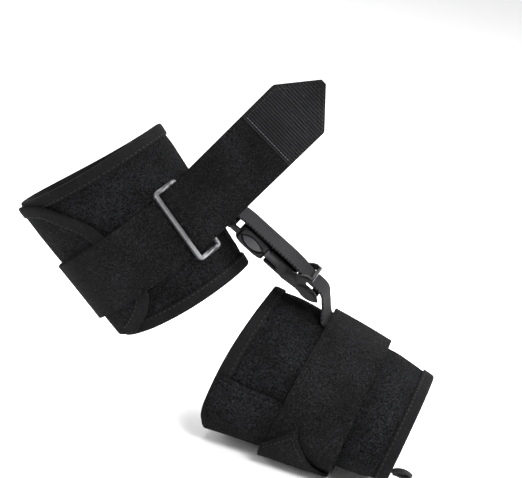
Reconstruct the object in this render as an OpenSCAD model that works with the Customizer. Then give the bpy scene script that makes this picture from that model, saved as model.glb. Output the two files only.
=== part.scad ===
/* [Leg cuff] */
// Front to back width of the leg cuff at its top edge
leg_top_depth = 95; // [90:1:100]
// Front to back width of the leg cuff at its bottom edge
leg_bottom_depth = 85; // [80:1:90]
// Side to side width of the cuff as a share of its front to back width
leg_roundness = 0.89; // [0.85:0.01:0.93]
// Thickness of the padded panels
panel_thickness = 3; // [2.5:0.1:3.2]
// Width of the edge binding tape, folded over an edge
binding_width = 7; // [5:0.5:9]

/* [Foot wrap] */
// Length of the foot wrap along the sole
wrap_length = 108.7; // [105:0.1:112]
// Width of the foot wrap at its rear edge
wrap_rear_width = 76; // [72:1:80]
// Width of the foot wrap at its toe edge
wrap_front_width = 97; // [92:1:100]

/* [Straps] */
// Width of the elastic straps
strap_width = 39; // [36:1:40]
// Thickness of the elastic straps
strap_thickness = 1.6; // [1.2:0.1:1.8]
// Width of the buckle webbing
webbing_width = 24; // [22:0.5:25]
// Thickness of the buckle webbing
webbing_thickness = 1.4; // [1:0.1:1.5]

/* [Buckle] */
// Outer width of the buckle socket
buckle_width = 29; // [29:0.5:30]
// Thickness of the buckle socket
buckle_thickness = 9.2; // [9.2:0.2:9.6]

/* [Hidden] */

gap = 0.06;              // air between two sewn layers
cloth = 0.8;             // thickness of thin cloth: lining, binding tape, hook tape
ring_steps = 60;         // segments once round a cuff

// Leg cuff: a slanted tube from leg_low to leg_high; angles run from the front
// over the outer (-Y) side to the back.
leg_low = [-88, 0, 62];
leg_high = [-161, 0, 126];
leg_length = norm(leg_high - leg_low);
leg_axis = (leg_high - leg_low) / leg_length;
leg_tilt = 43.2;         // slope of the cuff's edges above the sole
leg_front = [cos(leg_tilt), 0, sin(leg_tilt)];
outer_side = [0, -1, 0];

// Point of the leg cuff: angle round it, share of its length, height over the panel's face
function leg_half(t) = (leg_bottom_depth + (leg_top_depth - leg_bottom_depth) * t) / 2;
function leg_dip(angle, t) = 2.2 * sin(angle) * sin(angle);
function leg_point(angle, t, d) =
    leg_low + leg_axis * (leg_length * t - leg_dip(angle, t))
    + leg_front * ((leg_half(t) + d) * cos(angle))
    + outer_side * ((leg_half(t) * leg_roundness + d) * sin(angle));

// Foot wrap: angle 0 is the instep, 90 the outer side and 180 the sole
wrap_rear = -0.49 * wrap_length;
wrap_front = 0.51 * wrap_length;
wrap_lean = 0.19;        // how far the cross-sections lean forward
sole_face = -4;          // underside of the panel
function wrap_height(x) = 69.3 - 0.265 * (x + 4) - 0.00096 * pow(x + 4, 2);
function wrap_half(x) =
    (wrap_rear_width + (wrap_front_width - wrap_rear_width) * (x - wrap_rear) / wrap_length) / 2;
function signed_power(v, p) = sign(v) * pow(abs(v), p);
waist = 0.34;            // share of the height at which the wrap is widest
function wrap_point(x, angle, d) =
    let(
        top = wrap_height(x),
        middle = sole_face + (top - sole_face) * waist,
        upper = cos(angle) >= 0,
        reach = upper ? top - middle : middle - sole_face,
        round = upper ? 0.92 : 0.62,
        side = -(wrap_half(x) + d) * signed_power(sin(angle), round),
        z = middle + (reach + d) * signed_power(cos(angle), round),
        bow = 7 * pow(max(0, (10 - x) / 66), 2) * pow(sin(angle), 2)
    )
    [x - bow + wrap_lean * z, side + 0.06 * (z - middle), z];

// Closed solid over a grid of points: rows of the outer face, then rows of the inner face
module sheet_solid(outer, inner, closed = false) {
    rows = len(outer);
    cols = len(outer[0]);
    last = closed ? cols - 1 : cols - 2;
    function at(r, c) = r * cols + c % cols;
    function under(r, c) = rows * cols + at(r, c);
    points = concat([for (row = outer) each row], [for (row = inner) each row]);
    faces = concat(
        [for (r = [0 : rows - 2], c = [0 : last]) each [
            [at(r, c), at(r + 1, c), at(r + 1, c + 1)],
            [at(r, c), at(r + 1, c + 1), at(r, c + 1)],
            [under(r, c), under(r + 1, c + 1), under(r + 1, c)],
            [under(r, c), under(r, c + 1), under(r + 1, c + 1)]]],
        [for (c = [0 : last]) each [
            [at(0, c), at(0, c + 1), under(0, c + 1)],
            [at(0, c), under(0, c + 1), under(0, c)],
            [at(rows - 1, c), under(rows - 1, c + 1), at(rows - 1, c + 1)],
            [at(rows - 1, c), under(rows - 1, c), under(rows - 1, c + 1)]]],
        closed ? [] : [for (r = [0 : rows - 2]) each [
            [at(r, 0), under(r + 1, 0), at(r + 1, 0)],
            [at(r, 0), under(r, 0), under(r + 1, 0)],
            [at(r, cols - 1), at(r + 1, cols - 1), under(r + 1, cols - 1)],
            [at(r, cols - 1), under(r + 1, cols - 1), under(r, cols - 1)]]]
    );
    polyhedron(points = points, faces = faces, convexity = 8);
}

// Closed ring with a cross-section of few points, each ring given by its own function of the angle
module ring_solid(rings) {
    count = len(rings);
    side = len(rings[0]);
    function at(r, k) = (r % count) * side + k % side;
    faces = [for (r = [0 : count - 1], k = [0 : side - 1]) each [
        [at(r, k), at(r + 1, k), at(r + 1, k + 1)],
        [at(r, k), at(r + 1, k + 1), at(r, k + 1)]]];
    polyhedron(points = [for (ring = rings) each ring], faces = faces, convexity = 8);
}

// Strip with a constant cross-section through stations, closed with flat ends
module strip_solid(stations) {
    count = len(stations);
    side = len(stations[0]);
    function at(r, k) = r * side + k % side;
    faces = concat(
        [for (r = [0 : count - 2], k = [0 : side - 1]) each [
            [at(r, k), at(r + 1, k), at(r + 1, k + 1)],
            [at(r, k), at(r + 1, k + 1), at(r, k + 1)]]],
        [[for (k = [side - 1 : -1 : 0]) at(count - 1, k)]],
        [[for (k = [0 : side - 1]) at(0, k)]]
    );
    polyhedron(points = [for (s = stations) each s], faces = faces, convexity = 8);
}

round_angles = [for (i = [0 : ring_steps - 1]) 360 * i / ring_steps];
function steps(from, to, count) = [for (i = [0 : count]) from + (to - from) * i / count];
function blend(x, from, to) = let(s = max(0, min(1, (x - from) / (to - from)))) s * s * (3 - 2 * s);

// A tube layer of the leg cuff between two heights over the panel's face
module leg_layer(low, high, outer, inner) {
    shares = [low, high];
    sheet_solid(
        [for (t = shares) [for (a = round_angles) leg_point(a, t, outer)]],
        [for (t = shares) [for (a = round_angles) leg_point(a, t, inner)]],
        closed = true
    );
}

// A tube layer of the foot wrap
module foot_layer(rear, front, outer, inner) {
    places = steps(rear, front, 6);
    sheet_solid(
        [for (x = places) [for (a = round_angles) wrap_point(x, a, outer)]],
        [for (x = places) [for (a = round_angles) wrap_point(x, a, inner)]],
        closed = true
    );
}

inner_face = -panel_thickness - gap;
lining_face = inner_face - cloth;
binding_top = cloth + gap;

// Binding tape folded over an edge: [distance from the edge, height over the panel's face]
function binding_profile(out) = [
    [binding_width, gap], [binding_width, binding_top], [-cloth, binding_top],
    [-cloth, lining_face - 0.2 - cloth], [binding_width, lining_face - 0.2 - cloth],
    [binding_width, lining_face - 0.2], [-gap, lining_face - 0.2], [-gap, gap]
];

module leg_binding(t_edge, inward) {
    share = inward / leg_length;
    profile = binding_profile(0);
    order = inward > 0 ? [0 : 7] : [7 : -1 : 0];
    ring_solid([for (a = round_angles)
        [for (k = order) leg_point(a, t_edge + profile[k][0] * share, profile[k][1])]]);
}

module foot_binding(x_edge, inward) {
    profile = binding_profile(0);
    order = inward > 0 ? [0 : 7] : [7 : -1 : 0];
    ring_solid([for (a = round_angles)
        [for (k = order) wrap_point(x_edge + profile[k][0] * inward, a, profile[k][1])]]);
}

module leg_cuff_panel() color("#1b1c1d") leg_layer(0, 1, 0, -panel_thickness);
module leg_cuff_lining() color("#26282a") leg_layer(0, 1, inner_face, lining_face);
module leg_top_binding() color("#242627") leg_binding(1, -1);
module leg_bottom_binding() color("#242627") leg_binding(0, 1);

// Closure flap: it comes round from the back and tapers to a tongue at the outer side
flap_back = 205;         // angle where the flap leaves the panel
flap_under = 1.8;        // its inner face, over the panel's face
flap_top = 3.4;          // its outer face
flap_edge = [[0.015, 128], [0.03, 122], [0.05, 116], [0.075, 110], [0.1, 105], [0.16, 97], [0.22, 93],
             [0.34, 90], [0.48, 91], [0.62, 95], [0.72, 99], [0.82, 108], [0.9, 117], [0.935, 122],
             [0.955, 128], [0.97, 137], [0.985, 150]];
flap_shares = [for (e = flap_edge) e[0]];
function flap_end(t) = lookup(t, flap_edge);

module leg_closure_flap() color("#1b1c1d") {
    angles = [for (t = flap_shares) steps(flap_end(t) + 2, flap_back, 12)];
    last = len(flap_shares) - 1;
    sheet_solid(
        [for (i = [0 : last]) [for (a = angles[i]) leg_point(a, flap_shares[i], flap_top)]],
        [for (i = [0 : last]) [for (a = angles[i]) leg_point(a, flap_shares[i], flap_under)]]
    );
}

// Binding tape along the flap's free edge
module leg_flap_binding() color("#2b2d2e") {
    half_mm = 45;        // degrees to millimetres along the cuff
    last = len(flap_edge) - 1;
    tape = binding_width - 0.5;
    stations = [for (i = [0 : last])
        let(
            p = flap_edge[i],
            a = flap_edge[max(0, i - 1)],
            b = flap_edge[min(last, i + 1)],
            along = [(b[0] - a[0]) * leg_length, (b[1] - a[1]) * PI / 180 * half_mm],
            inward = [-along[1], along[0]] / norm(along),
            place = function(w, d)
                leg_point(p[1] + inward[1] * w * 180 / PI / half_mm, p[0] + inward[0] * w / leg_length, d)
        )
        [place(-cloth, flap_under), place(-cloth, flap_top + 0.45 + cloth),
         place(tape / 2, flap_top + 0.45 + cloth), place(tape, flap_top + 0.45 + cloth),
         place(tape, flap_top + 0.45), place(tape / 2, flap_top + 0.45),
         place(0, flap_top + 0.45), place(0, flap_under)]];
    strip_solid(stations);
}

module leg_hook_patch() color("#151515") {
    shares = steps(0.2, 0.56, 3);
    angles = steps(108, 192, 14);
    sheet_solid(
        [for (t = shares) [for (a = angles) leg_point(a, t, 0.3 + cloth)]],
        [for (t = shares) [for (a = angles) leg_point(a, t, 0.3)]]
    );
}

// Elastic band: from its seam on the inner side, round the back, to the ring
band_start = 292;
band_end = 53;
band_half = strap_width / 2 / leg_length;
function band_middle(angle) =
    ring_share - (ring_share - 0.36) * blend(angle, 40, 175) * (1 - blend(angle, 200, 292));
function band_lift(angle) =
    gap + 0.1 + 4.75 * blend(angle, 72, 85) * (1 - blend(angle, 207, 224));

module leg_elastic_band() color("#202122") {
    angles = steps(band_start, band_end, 48);
    lifts = [for (a = angles) band_lift(a)];
    shares = steps(-band_half, band_half, 3);
    sheet_solid(
        [for (s = shares) [for (a = angles) leg_point(a, band_middle(a) + s, band_lift(a) + strap_thickness)]],
        [for (s = shares) [for (a = angles) leg_point(a, band_middle(a) + s, band_lift(a))]]
    );
}

// Metal ring, in its own frame: x from the anchored bar to the free bar, y along the bars, z outward
ring_angle = 39;
ring_share = 0.448;
ring_long = 48;
ring_short = 19;
ring_bar = 3;
ring_centre = leg_point(ring_angle, ring_share, 5.2);
across_leg = [-leg_axis[2], 0, leg_axis[0]] * -1;
ring_out = across_leg * cos(ring_angle) + outer_side * sin(ring_angle);
ring_back = cross(ring_out, leg_axis);
function frame(origin, x, y, z) =
    [[x[0], y[0], z[0], origin[0]], [x[1], y[1], z[1], origin[1]], [x[2], y[2], z[2], origin[2]], [0, 0, 0, 1]];
bar_gap = ring_short - ring_bar;
anchored_bar = ring_centre - ring_back * bar_gap / 2;
free_bar = ring_centre + ring_back * bar_gap / 2;

// Section of the ring's outer bars: round inside, where the strap turns, and flat outside
module flat_section() hull() {
    circle(d = ring_bar, $fn = 24);
    for (x = [-1, 1]) translate([x * (ring_bar / 2 - 0.5), ring_bar / 2 - 0.5]) circle(r = 0.5, $fn = 16);
}

module strap_ring() color("#8f9092")
    multmatrix(frame(ring_centre, ring_back, -leg_axis, ring_out)) {
        translate([-bar_gap / 2, 0, 0]) rotate([90, 0, 0])
            cylinder(d = ring_bar, h = ring_long - 2 * ring_bar, center = true, $fn = 32);
        translate([bar_gap / 2, 0, 0]) rotate([90, 0, 0])
            linear_extrude(ring_long - 2 * ring_bar, center = true) flat_section();
        for (y = [-1, 1])
            translate([0, y * (ring_long - ring_bar) / 2, 0]) {
                rotate([0, 90, 0]) cylinder(d = ring_bar, h = bar_gap - ring_bar, center = true, $fn = 32);
                translate([(bar_gap - ring_bar) / 2, 0, 0]) rotate([90, 0, -90])
                    linear_extrude(9) flat_section();
            }
        for (x = [-1, 1], y = [-1, 1])
            translate([x * (bar_gap - ring_bar) / 2, y * (ring_long - 2 * ring_bar) / 2, 0])
                rotate([0, 0, x > 0 ? (y > 0 ? 0 : 270) : (y > 0 ? 90 : 180)])
                    rotate_extrude(angle = 90, $fn = 32)
                        translate([ring_bar / 2, 0])
                            if (x > 0) flat_section(); else circle(d = ring_bar, $fn = 32);
    }

// Ribbon with flat ends between two edges, given as lists of points
module ribbon(left, right, thickness) {
    last = len(left) - 1;
    middle = (left + right) / 2;
    strip_solid([for (i = [0 : last])
        let(
            run = middle[min(last, i + 1)] - middle[max(0, i - 1)],
            face = cross(run, right[i] - left[i]),
            out = face / norm(face) * thickness / 2
        )
        [left[i] - out, right[i] - out, right[i] + out, left[i] + out]]);
}

// Short webbing that holds the anchored bar, sewn to the front of the cuff
ring_webbing_half = 17;
module ring_anchor_webbing() color("#1d1e1f") {
    share = ring_webbing_half / leg_length;
    wrap = ring_bar / 2 + 0.12 + webbing_thickness / 2;
    lift = gap + webbing_thickness / 2;
    sewn = [for (a = steps(-16, 16, 8)) a];
    turn = [for (a = steps(262, 500, 10))
        anchored_bar + wrap * (cos(a) * ring_back + sin(a) * ring_out)];
    ribbon(
        concat([for (a = sewn) leg_point(a, ring_share - share, lift)],
               [for (p = turn) p - leg_axis * ring_webbing_half]),
        concat([for (a = sewn) leg_point(a, ring_share + share, lift)],
               [for (p = turn) p + leg_axis * ring_webbing_half]),
        webbing_thickness
    );
}

// Pull strap: it comes up through the ring, round the free bar, and is drawn forward and up
pull_slope = 58;
pull_out = 1;
pull_dir = [cos(pull_out) * cos(pull_slope), -sin(pull_out), cos(pull_out) * sin(pull_slope)];
pull_face = let(c = cross(pull_dir, leg_axis)) c / norm(c);
pull_side = cross(pull_face, pull_dir);
tail_length = 72;
tab_length = 49;
tab_shoulder = 29;
tab_pivot_gap = 1;
tail_lift = -(ring_bar / 2 + 0.45 + strap_thickness);

module on_pull_strap()
    multmatrix(frame(free_bar, pull_dir, pull_side, pull_face)) children();

module pull_strap() color("#1c1d1e") {
    half = strap_width / 2;
    reach = -tail_lift - strap_thickness / 2;
    leave = atan2(-pull_face * ring_out, -pull_face * ring_back);
    turn = [for (a = steps(272, leave < 0 ? leave + 360 : leave, 6))
        free_bar + reach * (cos(a) * ring_back + sin(a) * ring_out)];
    flat = [for (s = [14, tail_length / 2, tail_length - tab_pivot_gap])
        free_bar - pull_face * reach + pull_dir * s];
    ribbon(
        concat([for (p = turn) p - leg_axis * half], [for (p = flat) p - pull_side * half]),
        concat([for (p = turn) p + leg_axis * half], [for (p = flat) p + pull_side * half]),
        strap_thickness
    );
}

module tab_outline(inset) {
    half = strap_width / 2 - inset;
    polygon([[tail_length + tab_pivot_gap + inset, -half], [tail_length + tab_shoulder, -half],
             [tail_length + tab_length - inset, -0.5], [tail_length + tab_length - inset, 2.5],
             [tail_length + tab_shoulder - 2, half], [tail_length + tab_pivot_gap + inset, half]]);
}

module pull_strap_tip() color("#1c1d1e")
    on_pull_strap() translate([0, 0, tail_lift]) linear_extrude(strap_thickness) tab_outline(0);

module pull_strap_hook_tab() color("#262829")
    on_pull_strap() translate([0, 0, tail_lift + strap_thickness + gap]) linear_extrude(1.1) tab_outline(0.6);

// Buckle, in its own frame: x along the strap towards the foot, y across it, z away from the ankle
buckle_origin = [-53.3, 0, 108.7];
buckle_slope = 28;
module on_buckle() translate(buckle_origin) rotate([0, buckle_slope, 0]) children();
function buckle_place(p) =
    buckle_origin + [p[0] * cos(buckle_slope) + p[1] * sin(buckle_slope), 0,
                     p[1] * cos(buckle_slope) - p[0] * sin(buckle_slope)];

socket_back = -12;
mouth = 9;
wall = 1.6;
half_width = buckle_width / 2;
socket_bar = -18.5;
bar_d = 3.4;

// Flat block with round corners in plan
module plan_block(low, high, z_low, z_high, radius) {
    translate([low[0], low[1], z_low]) {
        size = high - low;
        translate([radius, 0, 0]) cube([size[0] - 2 * radius, size[1], z_high - z_low]);
        translate([0, radius, 0]) cube([size[0], size[1] - 2 * radius, z_high - z_low]);
        for (x = [radius, size[0] - radius], y = [radius, size[1] - radius])
            translate([x, y, 0]) cylinder(r = radius, h = z_high - z_low, $fn = 32);
    }
}

module buckle_socket() color("#0d0d0e") on_buckle() {
    half = buckle_thickness / 2;
    difference() {
        intersection() {
            plan_block([socket_back, -half_width], [mouth, half_width], -half, half, 3);
            rotate([90, 0, 0]) linear_extrude(buckle_width + 2, center = true) polygon([
                [socket_back, -2.6], [-10, -3.8], [-7, -4.4], [-3, -half], [4, -half], [mouth, -3.9],
                [mouth, 4.1], [4, half], [-5, half], [-9.5, 4.2], [socket_back, 2.9]]);
        }
        translate([-8.5, -12.3, -half + wall]) cube([mouth + 10, 24.6, buckle_thickness - 2 * wall]);
        rotate([90, 0, 0]) linear_extrude(buckle_width + 2, center = true) hull()
            for (x = [-1.2, -0.4]) translate([x, 0]) offset(r = 0.5) lens(15.5, 5.6);
        translate([-2, 0, 0]) cylinder(d = 9, h = 20, $fn = 40);
    }
    for (y = [-1, 1])
        translate([0, y * (half_width - 1), 0]) {
            translate([socket_bar, -1, -bar_d / 2]) cube([socket_back - socket_bar + 1, 2, bar_d]);
            translate([socket_bar, 0, 0]) rotate([90, 0, 0]) cylinder(d = bar_d, h = 2, center = true, $fn = 32);
        }
    translate([socket_bar, 0, 0]) rotate([90, 0, 0])
        cylinder(d = bar_d, h = buckle_width - 3, center = true, $fn = 32);
}

arm_root = [19, 9.5];
knuckle = 4;
lock_bar = [32, 2.2];
end_bar = [39.1, 6.8];
cheek = [12.6, 3];       // inner face and thickness of a cheek

// Lens shape of two arcs, along x
module lens(length, height) {
    radius = (length * length + height * height) / (4 * height);
    intersection() {
        translate([0, radius - height / 2]) circle(r = radius, $fn = 180);
        translate([0, height / 2 - radius]) circle(r = radius, $fn = 180);
    }
}

module plug_cheek() {
    rotate([90, 0, 0]) linear_extrude(cheek[1], center = true) {
        translate([41.5, 0]) lens(17, 6.4);
        polygon([[24, -3.4], [28, -3], [34.5, -2.4], [40.5, -2.6], [40.5, 2.6], [37.7, 3.4], [37.7, 5.4],
                 [39.1, 5.6], [39.1, 8.1], [36.1, 8], [33.5, 6.7], [31.3, 4.8], [28, 3.6], [24, 3.4]]);
        translate(end_bar) circle(d = 2.6, $fn = 32);
    }
}

module buckle_plug() color("#0d0d0e") on_buckle() {
    difference() {
        union() {
            plan_block([10, -13.8], [27, 13.8], -3.7, 3.7, 2.5);
            translate([25, -14.2, -3.2]) cube([5, 28.4, 6.4]);
        }
        for (y = [-1, 1]) {
            translate([arm_root[0], y * arm_root[1], -2.6]) cylinder(d = knuckle + 0.2, h = 5.2, $fn = 32);
            translate([6, y > 0 ? 5.2 : -16, -2.6]) cube([arm_root[0] - 6, 10.8, 5.2]);
        }
        translate([18, 0, 14]) rotate([90, 0, 0]) cylinder(r = 12, h = 9, center = true, $fn = 64);
    }
    translate([-5, -3, -1.3]) cube([16, 6, 2.6]);
    translate([-5, 0, -1.3]) cylinder(r = 3, h = 2.6, $fn = 32);
    for (y = [-1, 1])
        translate([0, y * (cheek[0] + cheek[1] / 2), 0]) plug_cheek();
    for (y = [-1, 1])
        translate([41.5, y * (cheek[0] + cheek[1]), 0]) rotate([90, 0, 0])
            linear_extrude(1.4, center = true) lens(14.5, 5.2);
    for (bar = [[lock_bar, 3.2], [end_bar, 2.6]])
        translate([bar[0][0], 0, bar[0][1]]) rotate([90, 0, 0])
            cylinder(d = bar[1], h = 2 * cheek[0] + 1, center = true, $fn = 32);
    translate([43, -cheek[0] - 0.5, -1.4]) cube([5, 2 * cheek[0] + 1, 2.6]);
}

// One squeeze arm: knuckle, beam and thumb pad; side is 1 or -1
module squeeze_arm(side) on_buckle() scale([1, side, 1]) {
    translate([arm_root[0], arm_root[1], -2.4]) cylinder(d = knuckle, h = 4.8, $fn = 32);
    translate([5, 8.3, -2.3]) cube([arm_root[0] - 5, 2.4, 4.6]);
    translate([-8, 8.3, -2.3]) cube([14, 3.6, 4.6]);
    translate([-1, 11.6, 0]) rotate([90, 0, 0])
        linear_extrude(3.2, center = true) lens(15.5, 5.6);
    translate([-1, 0, 0]) intersection() {
        translate([0, 13, 0]) rotate([90, 0, 0]) linear_extrude(6, center = true) lens(14.5, 5);
        translate([0, -15.1, -5]) cylinder(r = 30.5, h = 10, $fn = 180);
    }
}

module squeeze_arm_left() color("#2a2b2c") squeeze_arm(1);
module squeeze_arm_right() color("#2a2b2c") mirror([0, 1, 0]) squeeze_arm(1);

// Flat webbing along a route in the side plane, each point [x, z, crown]; a crown lets both
// edges drop below the middle, as webbing does where it lies on the instep
webbing_across = [for (i = [0 : 6]) i / 3 - 1];
crown_middle = 0.27;
module webbing_route(route, width, thickness) {
    last = len(route) - 1;
    stations = [for (i = [0 : last])
        let(
            a = route[max(0, i - 1)],
            b = route[min(last, i + 1)],
            run = [b[0] - a[0], b[1] - a[1]],
            out = [-run[1], run[0]] / norm(run),
            p = route[i],
            crown = len(p) > 2 ? p[2] : 0,
            place = function(s, d)
                let(h = d - crown * pow(s - crown_middle, 2))
                [p[0] + out[0] * h, s * width / 2, p[1] + out[1] * h]
        )
        concat([for (s = webbing_across) place(s, -thickness / 2)],
               [for (k = [6 : -1 : 0]) place(webbing_across[k], thickness / 2)])];
    strip_solid(stations);
}
function plane(p) = [p[0], p[2]];
function arc(centre, radius, from, to, count) =
    [for (a = steps(from, to, count)) centre + radius * [cos(a), sin(a)]];

// Anchor webbing: sewn to the cuff's front, down to the socket's bar, round it and back
function front_point(t, d) = plane(leg_point(0, t, d));
sewn_height = gap + webbing_thickness + gap + webbing_thickness / 2;
bar_centre = plane(buckle_place([socket_bar, 0]));
bar_turn = bar_d / 2 + 0.15 + webbing_thickness / 2;

module cuff_anchor_webbing() color("#1a1b1c") {
    ends = [for (t = steps(0.68, 0.44, 6)) front_point(t, sewn_height)];
    webbing_route(concat(ends, arc(bar_centre, bar_turn, 232, 420, 12)), webbing_width, webbing_thickness);
}

// Adjusting webbing: sewn to the instep, up through the ladder lock, and on over the buckle as a tail
instep_height = 0.65 + webbing_thickness / 2;
function instep(x) = concat(plane(wrap_point(x, 0, instep_height)), instep_crown);
instep_crown = 1.55;
tail_height = 6.3;
loop_route = [[28.5, 5.9], [33.5, 5.1], [37.5, 4.62], [41, 4.6], [44.5, 4.7], [47.7, 4.4], [50.5, 3.1], [52.5, 0.9]];
loop_foot = [[-5.4, 81.5, 0.1], [-4.3, 78.2, 0.6], [-3, 75.4, 1.2]];

module adjusting_webbing() color("#222425") {
    route = concat(
        [front_point(0.62, 7.6), front_point(0.5, 6.8), plane(buckle_place([-20, 5.2]))],
        [for (s = [-12 : 8 : 20]) plane(buckle_place([s, tail_height]))],
        [for (p = loop_route) plane(buckle_place(p))],
        loop_foot,
        [for (x = steps(-15.4, 14, 5)) instep(x)]
    );
    webbing_route(route, webbing_width, webbing_thickness);
}

// Foot wrap
module foot_wrap_panel() color("#1b1c1d") foot_layer(wrap_rear, wrap_front, 0, -panel_thickness);
module foot_wrap_lining() color("#26282a") foot_layer(wrap_rear, wrap_front, inner_face, lining_face);
module foot_rear_binding() color("#242627") foot_binding(wrap_rear, 1);
module foot_front_binding() color("#242627") foot_binding(wrap_front, -1);

// Box-stitched patch of tape that covers the webbing's sewn end
module dorsal_stitch_patch() color("#202224") {
    places = steps(-10, 16, 4);
    angles = steps(-19, 19, 8);
    low = 2.15;
    sheet_solid(
        [for (x = places) [for (a = angles) wrap_point(x, a, low + 0.7)]],
        [for (x = places) [for (a = angles) wrap_point(x, a, low)]]
    );
}

// Closure flap of the foot wrap: over the outer side from the sole, its edge slanting forward and down
foot_flap_base = 1.2;
foot_flap_edge = [[wrap_rear + 0.5, 80], [-39, 82], [-21, 82], [-7, 85], [7, 97], [15, 115]];
module foot_closure_flap() color("#1b1c1d") {
    rows = [for (e = foot_flap_edge) steps(e[1], 196, 14)];
    last = len(rows) - 1;
    sheet_solid(
        [for (i = [0 : last]) [for (a = rows[i]) wrap_point(foot_flap_edge[i][0], a, foot_flap_base + 1.2)]],
        [for (i = [0 : last]) [for (a = rows[i]) wrap_point(foot_flap_edge[i][0], a, foot_flap_base)]]
    );
}

module foot_hook_patch() color("#151515") {
    places = steps(-42, 8, 3);
    angles = steps(138, 174, 6);
    sheet_solid(
        [for (x = places) [for (a = angles) wrap_point(x, a, 0.95)]],
        [for (x = places) [for (a = angles) wrap_point(x, a, 0.3)]]
    );
}

// Elastic band round the middle of the foot
foot_band_middle = 4.4;
function foot_band_lift(angle) =
    0.2 + 2.8 * (1 - blend(abs(angle > 180 ? angle - 360 : angle), 20, 36))
    + 2.45 * blend(angle, 56, 70) * (1 - blend(angle, 198, 212));
module foot_elastic_band() color("#202122") {
    places = steps(foot_band_middle - strap_width / 2, foot_band_middle + strap_width / 2, 3);
    sheet_solid(
        [for (x = places) [for (a = round_angles) wrap_point(x, a, foot_band_lift(a) + strap_thickness)]],
        [for (x = places) [for (a = round_angles) wrap_point(x, a, foot_band_lift(a))]],
        closed = true
    );
}

// Pointed end of the foot strap: it comes up from the sole over the band
tab_base = 5.8;
tab_rows = [[-18.5, 112], [-11, 99], [-3.5, 89], [5, 104], [14, 124], [24, 146]];
module foot_strap_tab() color("#1e1f20") {
    rows = [for (e = tab_rows) steps(e[1], 166, 12)];
    last = len(rows) - 1;
    sheet_solid(
        [for (i = [0 : last]) [for (a = rows[i]) wrap_point(tab_rows[i][0], a, tab_base + 1.5)]],
        [for (i = [0 : last]) [for (a = rows[i]) wrap_point(tab_rows[i][0], a, tab_base)]]
    );
}

module foot_strap_hook_patch() color("#151515") {
    rows = [for (e = tab_rows) steps(e[1] + 4, 164, 12)];
    last = len(rows) - 1;
    sheet_solid(
        [for (i = [1 : last - 1]) [for (a = rows[i]) wrap_point(tab_rows[i][0], a, tab_base - 0.2)]],
        [for (i = [1 : last - 1]) [for (a = rows[i]) wrap_point(tab_rows[i][0], a, tab_base - 0.5)]]
    );
}

// Small loop of tape at the toe edge, under the little toe
module toe_edge_loop() color("#161617") {
    base = wrap_point(wrap_front + cloth + 1.9, 166, -2.5);
    translate(base) rotate([90, 0, 0])
        difference() {
            linear_extrude(5, center = true) union() {
                translate([5, 1]) lens(13, 4.4);
                translate([-0.05, -0.8]) square([3, 3]);
            }
            linear_extrude(7, center = true) translate([5.6, 1]) lens(8.5, 1.8);
        }
}

leg_cuff_panel();
leg_cuff_lining();
leg_top_binding();
leg_bottom_binding();
leg_closure_flap();
leg_flap_binding();
leg_hook_patch();
leg_elastic_band();
ring_anchor_webbing();
strap_ring();
pull_strap();
pull_strap_tip();
pull_strap_hook_tab();
cuff_anchor_webbing();
buckle_socket();
buckle_plug();
squeeze_arm_left();
squeeze_arm_right();
adjusting_webbing();
foot_wrap_panel();
foot_wrap_lining();
foot_rear_binding();
foot_front_binding();
foot_closure_flap();
foot_hook_patch();
foot_elastic_band();
foot_strap_tab();
foot_strap_hook_patch();
toe_edge_loop();
dorsal_stitch_patch();
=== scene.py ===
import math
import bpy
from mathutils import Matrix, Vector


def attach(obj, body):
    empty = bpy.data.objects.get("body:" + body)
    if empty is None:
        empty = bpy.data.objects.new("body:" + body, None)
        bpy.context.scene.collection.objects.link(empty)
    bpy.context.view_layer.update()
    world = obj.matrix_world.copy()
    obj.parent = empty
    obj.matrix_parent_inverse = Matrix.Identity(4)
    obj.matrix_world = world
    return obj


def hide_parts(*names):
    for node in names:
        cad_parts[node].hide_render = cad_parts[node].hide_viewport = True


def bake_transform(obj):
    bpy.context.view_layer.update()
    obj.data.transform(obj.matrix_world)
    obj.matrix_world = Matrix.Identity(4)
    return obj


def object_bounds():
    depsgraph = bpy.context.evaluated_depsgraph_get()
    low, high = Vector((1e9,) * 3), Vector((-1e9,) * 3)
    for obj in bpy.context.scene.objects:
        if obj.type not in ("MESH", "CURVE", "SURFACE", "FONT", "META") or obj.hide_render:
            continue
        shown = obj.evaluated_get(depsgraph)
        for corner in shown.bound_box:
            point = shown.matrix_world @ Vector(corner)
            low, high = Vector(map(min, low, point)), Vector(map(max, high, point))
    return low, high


bl_info = {
    "name": "Ankle Foot Orthosis",
    "version": (1, 0, 0),
    "blender": (4, 5, 0),
    "location": "View3D > Sidebar > Brace",
    "description": "Builds a strap-type drop-foot brace: leg cuff, foot wrap, straps, ring and buckle",
    "category": "Object",
}

import bmesh
import bpy
import numpy as np
from bpy.props import FloatProperty, FloatVectorProperty, PointerProperty
from mathutils import Matrix, Vector, noise

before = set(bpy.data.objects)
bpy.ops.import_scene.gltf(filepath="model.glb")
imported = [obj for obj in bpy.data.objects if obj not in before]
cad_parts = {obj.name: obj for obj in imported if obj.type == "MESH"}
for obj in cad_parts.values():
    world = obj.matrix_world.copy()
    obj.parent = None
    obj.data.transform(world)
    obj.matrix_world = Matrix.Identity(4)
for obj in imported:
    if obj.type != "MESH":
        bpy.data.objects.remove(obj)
CAD_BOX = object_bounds()
MM = 0.001
ROUND = range(0, 360, 3)  # Degrees round a tube
STITCH_WIDE, STITCH_HIGH = 1.6, 1.5  # Times one_stitch's own width and height


def vec(*numbers):
    return np.array(numbers, float)


def unit(v):
    return v / np.linalg.norm(v)


def ease(x, start, end):
    """0 before start, 1 after end, smooth between them."""
    s = min(max((x - start) / (end - start), 0.0), 1.0)
    return s * s * (3 - 2 * s)


def steps(start, end, count):
    return [start + (end - start) * i / count for i in range(count + 1)]


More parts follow.
